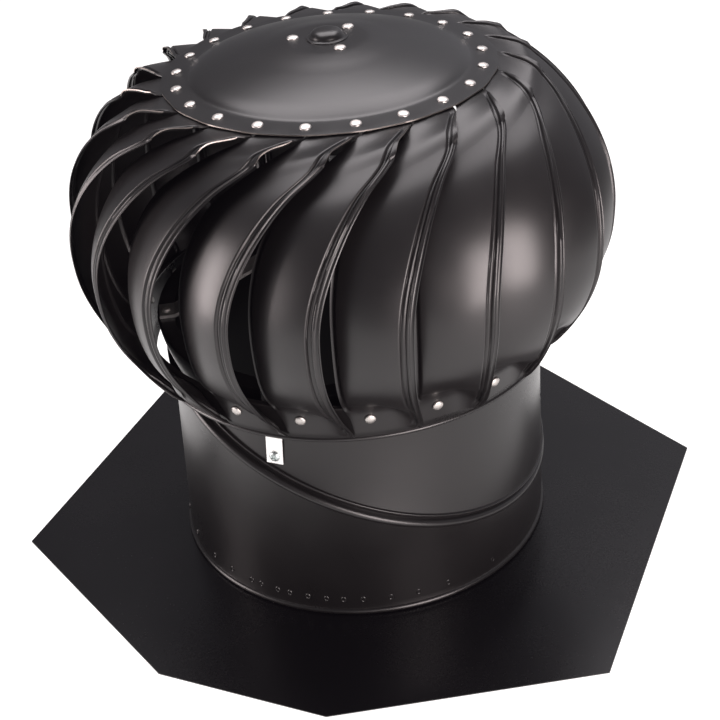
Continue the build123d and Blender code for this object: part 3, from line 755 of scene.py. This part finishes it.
# cross recess cut into the head
ups = np.cross(sn, et)
for ax in (et + ups, et - ups):
    ax = ax / np.linalg.norm(ax)
    bx = np.cross(sn, ax)
    me = bpy.data.meshes.new("cut")
    vs = []
    for sx in (-1, 1):
        for sy in (-1, 1):
            for sz in (0, 1):
                vs.append(tuple((so + ax * sx * 2.4 + bx * sy * 0.5 + sn * (0.9 + 2.5 * sz)) * MM))
    me.from_pydata(vs, [], [(0, 1, 3, 2), (4, 6, 7, 5), (0, 4, 5, 1), (2, 3, 7, 6), (0, 2, 6, 4), (1, 5, 7, 3)])
    cut = bpy.data.objects.new("cut", me)
    bpy.context.scene.collection.objects.link(cut)
    md = ob.modifiers.new("cutm", "BOOLEAN")
    md.operation = "DIFFERENCE"
    md.solver = "EXACT"
    md.object = cut
    bpy.context.view_layer.objects.active = ob
    bpy.context.view_layer.update()
    dg = bpy.context.evaluated_depsgraph_get()
    new = bpy.data.meshes.new_from_object(ob.evaluated_get(dg))
    ob.modifiers.clear()
    ob.data = new
    bpy.data.objects.remove(cut)
mod = ob.modifiers.new("split", "EDGE_SPLIT")
mod.split_angle = radians(40)
piece(ob, M_SCREW, "collar", "zinc_plate", "tab_screw")

# ------------------------------------------------------------------ flashing sheet with a slight hand warp
SIDES = [(-144.5, 0), (-114.5, 1), (-84.5, 0), (-24.5, 0), (35.5, 0), (65.5, 1), (95.5, 0), (155.5, 0)]


def flash_r(a):
    """Distance to the plate's edge along azimuth a (degrees)."""
    best = 1e9
    for s, k in SIDES:
        c = cos(radians(a - s))
        if c > 0.05:
            best = min(best, (251.1 if k else 252.1) / c)
    return best


az = set(np.round(np.linspace(-180, 180, 289)[:-1], 3))
for i in range(8):
    a0, k0 = SIDES[i]
    a1, k1 = SIDES[(i + 1) % 8]
    d0 = 251.1 if k0 else 252.1
    d1 = 251.1 if k1 else 252.1
    c0, s0, c1, s1 = cos(radians(a0)), sin(radians(a0)), cos(radians(a1)), sin(radians(a1))
    det = c0 * s1 - c1 * s0
    x, y = (d0 * s1 - d1 * s0) / det, (c0 * d1 - c1 * d0) / det
    v = math.degrees(math.atan2(y, x))
    for e in (-0.12, 0, 0.12):
        az.add(round(v + e, 3))
az = np.array(sorted(az))
ex = np.array([flash_r(a) for a in az])
rin = 150.5
fr_ = np.concatenate([[0, 0.006, 0.012], np.linspace(0.03, 0.97, 22), [0.990, 0.997, 1.0]])
A = np.zeros((len(fr_) + 6, len(az), 3))
ca, sa = np.cos(np.radians(az)), np.sin(np.radians(az))
neck = [(rin, 19.0), (rin, 12.0), (rin, 5.0), (rin, 2.4), (rin + 0.3, 1.4), (rin + 0.9, 0.95)]
for i, (r, z) in enumerate(neck):
    A[i] = np.stack([r * ca, r * sa, z + 0 * ca], -1)
for i, f in enumerate(fr_):
    r = 152.0 + (ex - 152.0) * f
    x, y = r * ca, r * sa
    lift = smooth((f - 0.25) / 0.75)
    z = 0.9 + 0 * x
    # a stiff edge that rides up a little between the corners
    z = z + lift * (0.55 * (0.5 + 0.5 * np.sin(x / 71.0 + 1.3) * np.cos(y / 63.0 - 0.4)))
    A[len(neck) + i] = np.stack([x, y, z], -1)
B = A.copy()
B[:4, :, 0] -= 0.8 * ca
B[:4, :, 1] -= 0.8 * sa
B[4, :, 0] -= 0.6 * ca
B[4, :, 1] -= 0.6 * sa
B[4, :, 2] -= 0.7
B[5:, :, 2] -= 0.88
V, F = shell(A[::-1], B[::-1], wrap_v=True)
ob = add_mesh("flashing_sheet", V, F, sharp=35)
piece(ob, M_FLASH, "base", "flashing_paint", "base_flashing", "flashing_neck")

# ------------------------------------------------------------------ inner parts keep their CAD meshes
for n in ("brace_arm_1", "brace_arm_2", "brace_arm_3"):
    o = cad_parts[n]
    o.data.materials.clear()
    o.data.materials.append(M_EDGE)
for n in ("brace_hub", "bearing_housing"):
    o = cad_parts[n]
    o.data.materials.clear()
    o.data.materials.append(M_BRACE)
for n in ("shaft", "thrust_collar", "retaining_clip", "upper_bearing", "lower_bearing"):
    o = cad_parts[n]
    o.data.materials.clear()
    o.data.materials.append(M_STEEL)
for n in ("brace_rivets",):
    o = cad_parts[n]
    o.data.materials.clear()
    o.data.materials.append(M_RIVET)

# ------------------------------------------------------------------ stage
m, nt, b = new_mat("floor_mat")
tc = nt.nodes.new("ShaderNodeTexCoord")
nn = noise(nt, 3.0, 2, 0.5, tc.outputs["Object"])
cc = ramp(nt, nn.outputs["Fac"], [(0.3, (0.31, 0.31, 0.31)), (0.7, (0.33, 0.33, 0.33))])
nt.links.new(cc.outputs["Color"], b.inputs["Base Color"])
b.inputs["Roughness"].default_value = 0.9
b.inputs["Specular IOR Level"].default_value = 0.0
b.inputs["Emission Color"].default_value = (1.0, 0.98, 0.97, 1)
# painted light: the table top glows (emission), white around the object as a painted pool of light and pale grey
# further out, with painted shade inside the duct where the glow drops to a tenth
xyz = nt.nodes.new("ShaderNodeSeparateXYZ")
nt.links.new(tc.outputs["Object"], xyz.inputs[0])


def math_node(op, a, b_=None):
    n_ = nt.nodes.new("ShaderNodeMath")
    n_.operation = op
    for q_, v_ in ((0, a), (1, b_)):
        if v_ is None:
            continue
        if isinstance(v_, (int, float)):
            n_.inputs[q_].default_value = v_
        else:
            nt.links.new(v_, n_.inputs[q_])
    return n_.outputs[0]


def soft_step(src, a, b_, lo, hi):
    mr = maprange(nt, src, a, b_, lo, hi)
    mr.interpolation_type = "SMOOTHSTEP"
    return mr.outputs["Result"]


ax_ = math_node("ABSOLUTE", xyz.outputs["X"])
# painted pool of light: a brighter glow over a patch round the object
painted_pool_mask = math_node("MULTIPLY", soft_step(ax_, 0.65, 1.15, 1.0, 0.0), soft_step(xyz.outputs["Y"], -1.05, -0.6, 0.0, 1.0))
painted_pool_mask = math_node("MULTIPLY", painted_pool_mask, soft_step(xyz.outputs["Y"], 1.6, 2.4, 1.0, 0.0))
rad = math_node("SQRT", math_node("ADD", math_node("POWER", xyz.outputs["X"], 2.0), math_node("POWER", xyz.outputs["Y"], 2.0)))
# painted shade: the glow falls to a tenth inside the duct
lit = math_node("MULTIPLY", math_node("MULTIPLY_ADD", painted_pool_mask, 0.68), soft_step(rad, 0.150, 0.22, 0.10, 1.0))
lit.node.inputs[0].links[0].from_node.inputs[2].default_value = 0.27
nt.links.new(lit, b.inputs["Emission Strength"])
me = bpy.data.meshes.new("floor")
s = 6.0
me.from_pydata([(-s, -s, -0.0005), (s, -s, -0.0005), (s, s, -0.0005), (-s, s, -0.0005)], [], [(0, 1, 2, 3)])
fl = bpy.data.objects.new("floor", me)
bpy.context.scene.collection.objects.link(fl)
fl.data.materials.append(m)

# studio: a dim room with a paler wall at the back right, behind three soft boxes
w = bpy.data.worlds.new("studio")
bpy.context.scene.world = w
w.use_nodes = True
nt = w.node_tree
bg = nt.nodes["Background"]
bg.inputs["Color"].default_value = (0.96, 0.94, 1.0, 1)
tc = nt.nodes.new("ShaderNodeTexCoord")


def lobe(az, el, inner, outer, gain):
    dt = nt.nodes.new("ShaderNodeVectorMath")
    dt.operation = "DOT_PRODUCT"
    a, e = radians(az), radians(el)
    dt.inputs[1].default_value = (cos(a) * cos(e), sin(a) * cos(e), sin(e))
    nt.links.new(tc.outputs["Generated"], dt.inputs[0])
    mr = maprange(nt, dt.outputs["Value"], cos(radians(outer)), cos(radians(inner)), 0.0, gain)
    mr.interpolation_type = "SMOOTHSTEP"
    return mr.outputs["Result"]


add = nt.nodes.new("ShaderNodeMath")
add.operation = "ADD"
add.inputs[1].default_value = 0.20
nt.links.new(lobe(42, 26, 8, 50, 0.40), add.inputs[0])
nt.links.new(add.outputs[0], bg.inputs["Strength"])
plain = nt.nodes.new("ShaderNodeBackground")
plain.inputs["Color"].default_value = (1, 1, 1, 1)
plain.inputs["Strength"].default_value = 1.0
lp = nt.nodes.new("ShaderNodeLightPath")
ms = nt.nodes.new("ShaderNodeMixShader")
nt.links.new(lp.outputs["Is Camera Ray"], ms.inputs["Fac"])
nt.links.new(bg.outputs["Background"], ms.inputs[1])
nt.links.new(plain.outputs["Background"], ms.inputs[2])
nt.links.new(ms.outputs["Shader"], nt.nodes["World Output"].inputs["Surface"])


def area(name, loc, target, size, size_y, radiance, color=(1, 1, 1)):
    li = bpy.data.lights.new(name, "AREA")
    li.shape = "RECTANGLE"
    li.size = size
    li.size_y = size_y
    li.energy = radiance * pi * size * size_y
    li.color = color
    o = bpy.data.objects.new(name, li)
    bpy.context.scene.collection.objects.link(o)
    o.location = loc
    d = Vector(target) - Vector(loc)
    o.rotation_euler = d.to_track_quat("-Z", "Y").to_euler()
    o.visible_camera = False
    return o


def side_box(name, az, dist, z0, z1, width, radiance, color):
    a = radians(az)
    x, y, z = dist * cos(a), dist * sin(a), 0.5 * (z0 + z1)
    return area(name, (x, y, z), (0, 0, z), width, z1 - z0, radiance, color)


WARM = (1.0, 0.885, 0.875)
side_box("right_box", -63, 1.05, 0.03, 0.74, 0.50, 13.6, WARM)
side_box("left_box", -172, 1.05, 0.03, 0.74, 0.34, 11.5, WARM)
side_box("left_fill", -155, 1.25, 0.04, 0.60, 0.50, 1.4, WARM)
side_box("front_fill", -90, 1.25, 0.04, 0.55, 0.50, 1.4, WARM)
tb = area("top_box", (0.04, 0.325, 1.35), (0.04, 0.32501, 0.0), 1.32, 0.95, 5.4, (1.0, 0.945, 0.965))
tb.rotation_euler.z += radians(10)

bpy.context.scene.view_settings.view_transform = "Standard"
bpy.context.scene.view_settings.look = "None"
# a print's black is never quite zero
vs = bpy.context.scene.view_settings
vs.use_curve_mapping = True
vs.curve_mapping.black_level = (-0.0016, -0.0013, -0.0019)
vs.curve_mapping.update()

# ------------------------------------------------------------------ camera at the photographed angle
U = 0.68649 * MM
f_px, el, roll, D, u0, v0 = 1422.347, radians(32.488), radians(-4.734), 1710.21, -5.438, 3.053
back = np.array([0, -cos(el), sin(el)])
fwd = -back
right = np.array([1.0, 0, 0])
up = np.cross(right, fwd)
Rr = cos(roll) * right + sin(roll) * up
Ur = -sin(roll) * right + cos(roll) * up
Cc = np.array([0, 0, 200.0]) - fwd * D - Rr * (u0 / f_px * D) + Ur * (v0 / f_px * D)
cam = bpy.data.cameras.new("camera")
cam.sensor_fit = "HORIZONTAL"
cam.sensor_width = 36.0
cam.lens = f_px / 720.0 * 36.0
cam.clip_start = 0.05
cam.clip_end = 50
co = bpy.data.objects.new("camera", cam)
bpy.context.scene.collection.objects.link(co)
loc = Cc * U
co.matrix_world = Matrix(((Rr[0], Ur[0], -fwd[0], loc[0]), (Rr[1], Ur[1], -fwd[1], loc[1]), (Rr[2], Ur[2], -fwd[2], loc[2]), (0, 0, 0, 1)))
bpy.context.scene.camera = co
